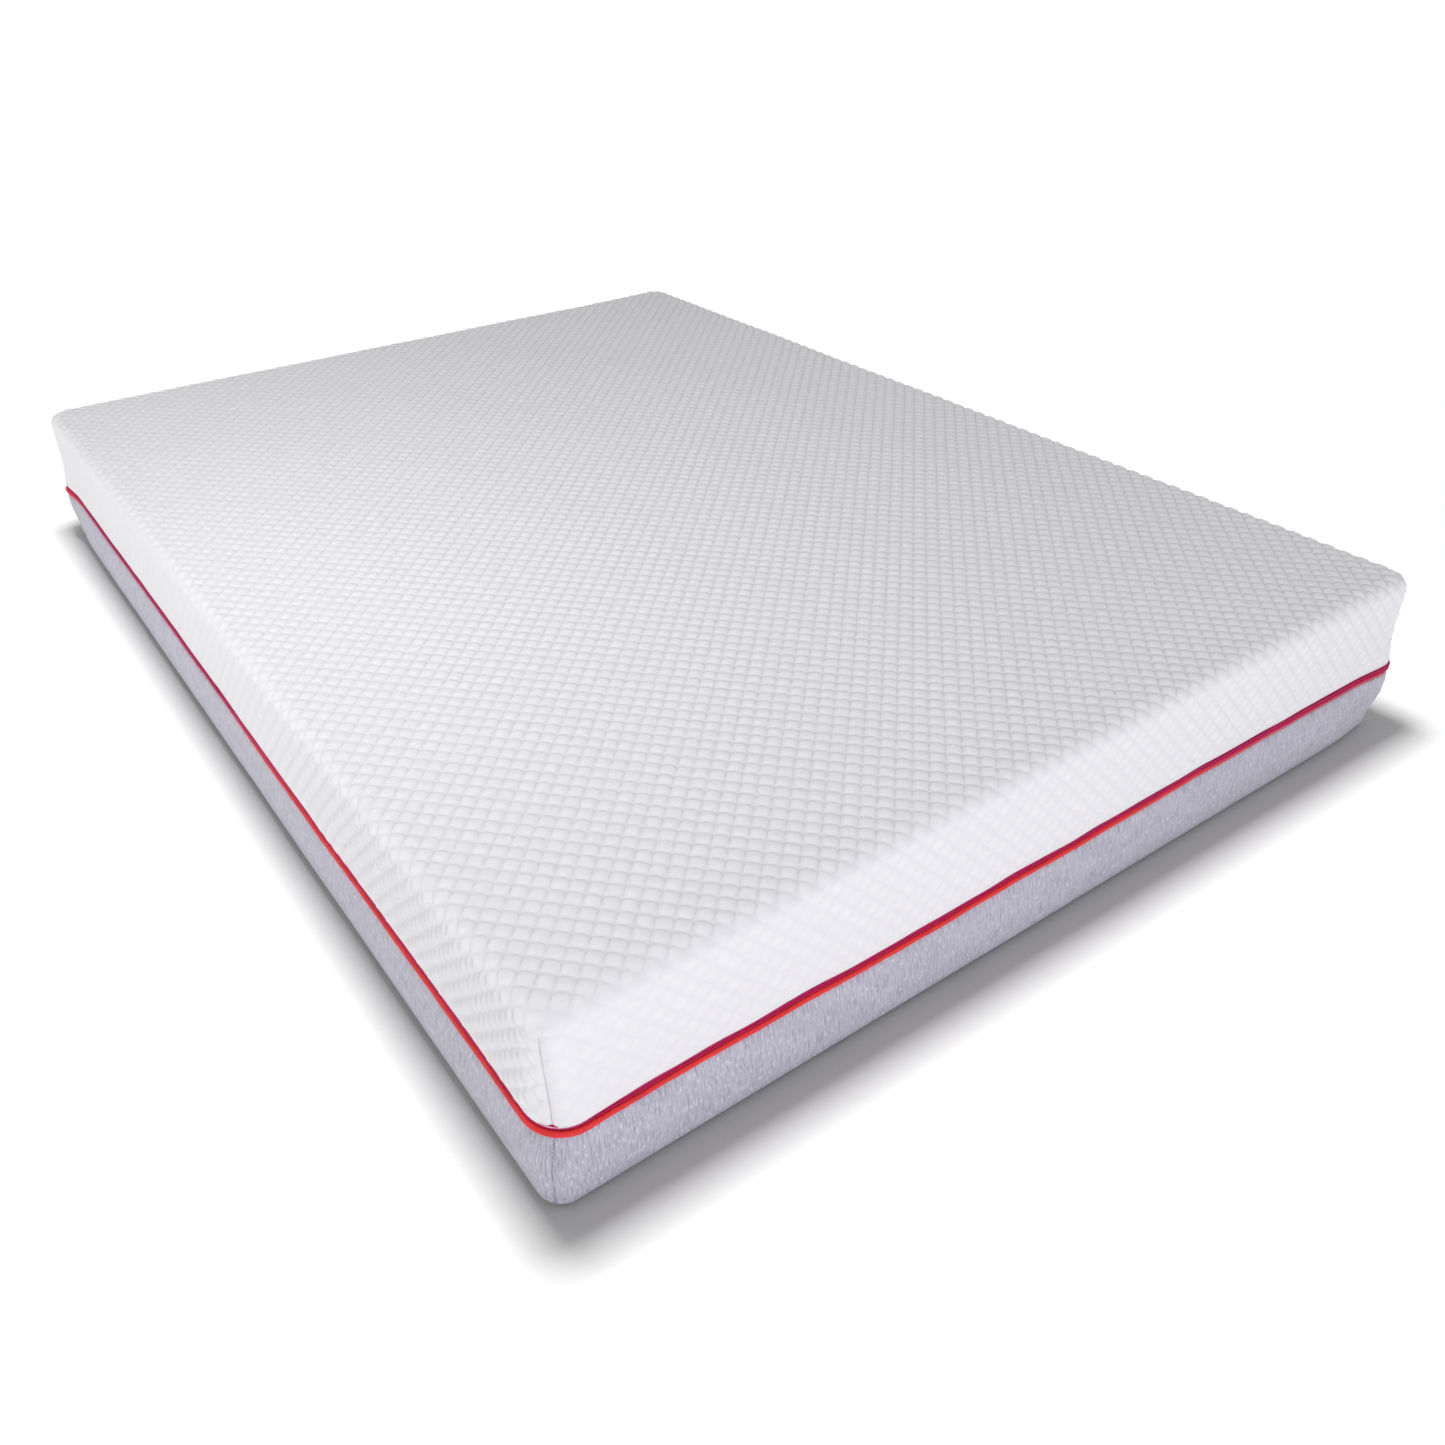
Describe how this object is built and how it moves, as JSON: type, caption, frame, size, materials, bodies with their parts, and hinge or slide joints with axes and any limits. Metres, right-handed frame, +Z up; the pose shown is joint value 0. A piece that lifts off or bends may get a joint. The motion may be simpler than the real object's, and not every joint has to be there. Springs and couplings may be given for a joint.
{
  "type": "memory foam mattress",
  "caption": "Foam mattress in a zip-off two-part cover: white bubble-knit top, red piping, grey knit base; three foam layers in an inner sock.",
  "frame": {"origin": "on the floor, under the middle of the mattress", "axes": "+Z up, +Y along the mattress's length towards the end where the zip starts, +X across its width"},
  "size_m": [1.4, 1.9, 0.25],
  "materials": {
    "white_bubble_knit": "double jacquard knit of raised round bubbles, matte",
    "grey_melange_knit": "fine melange knit in light lilac grey, matte",
    "red_piping_cloth": "plain woven polyester, bright red, slight sheen",
    "cotton_filler_cord": "twisted undyed cord",
    "crimson_zip_tape": "herringbone woven polyester tape, dark crimson",
    "crimson_nylon": "spiral-wound nylon, dark crimson, satin",
    "enamelled_zinc": "die-cast zinc, dark crimson enamel",
    "white_sock_jersey": "fine undyed jersey, matte",
    "memory_foam": "open-cell viscoelastic foam, cream",
    "transition_foam": "open-cell foam, pale blue",
    "support_foam": "open-cell foam, off-white"
  },
  "bodies": {
    "mattress_base": {"base_cover": "grey_melange_knit", "piping_wrap": "red_piping_cloth", "piping_cord": "cotton_filler_cord", "lower_zip_tape": "crimson_zip_tape", "lower_zip_coil": "crimson_nylon", "lower_end_stop": "crimson_nylon", "retainer_box": "crimson_nylon", "inner_sock": "white_sock_jersey", "memory_foam_layer": "memory_foam", "transition_foam_layer": "transition_foam", "support_foam_base": "support_foam"},
    "cover_top_half": {"top_cover": "white_bubble_knit", "upper_zip_tape": "crimson_zip_tape", "upper_zip_coil": "crimson_nylon", "upper_end_stop": "crimson_nylon", "insertion_pin": "crimson_nylon"},
    "slider": {"zip_slider": "enamelled_zinc"},
    "pull": {"zip_pull": "enamelled_zinc"}
  },
  "joints": [
    {"name": "cover_lift", "type": "slide", "parent": "mattress_base", "child": "cover_top_half", "axis": [0, 0, 1], "range_m": [0, 0.25]},
    {"name": "slider_travel", "type": "slide", "parent": "mattress_base", "child": "slider", "axis": [1, 0, 0], "range_m": [0, 1.2]},
    {"name": "pull_swing", "type": "hinge", "parent": "slider", "child": "pull", "pos_m": [-0.613, 0.94765, 0.1022], "axis": [0, 0, -1], "range_deg": [0, 175]}
  ]
}
